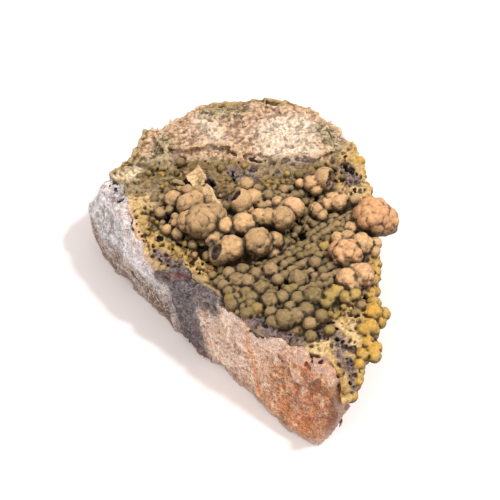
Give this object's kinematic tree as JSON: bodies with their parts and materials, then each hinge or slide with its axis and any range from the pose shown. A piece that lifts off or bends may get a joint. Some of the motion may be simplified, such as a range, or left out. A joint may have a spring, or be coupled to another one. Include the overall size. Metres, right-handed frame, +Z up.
{
  "type": "mottramite mineral specimen",
  "caption": "Wedge of granular host rock with a flat base, its upper face and right flank crusted with olive and ochre botryoidal mineral, boxwork cells and broken hollow spheroids.",
  "frame": {"origin": "middle of the specimen's bounding box, on the surface it rests on", "axes": "+Z up, +Y from the pointed front tip to the rounded back, +X to the flank that carries the crust"},
  "size_m": [0.0872, 0.104, 0.0327],
  "materials": {
    "host_rock": "granular, grey-white at the left, pink in the middle and rust orange at the front tip",
    "mottramite": "velvety olive-brown spheroids with paler frosted edges, ochre and moss-green lattice, sandy tan plateau"
  },
  "bodies": {
    "root": {"matrix_rock": "host_rock", "mottramite_crust": "mottramite"}
  },
  "joints": []
}
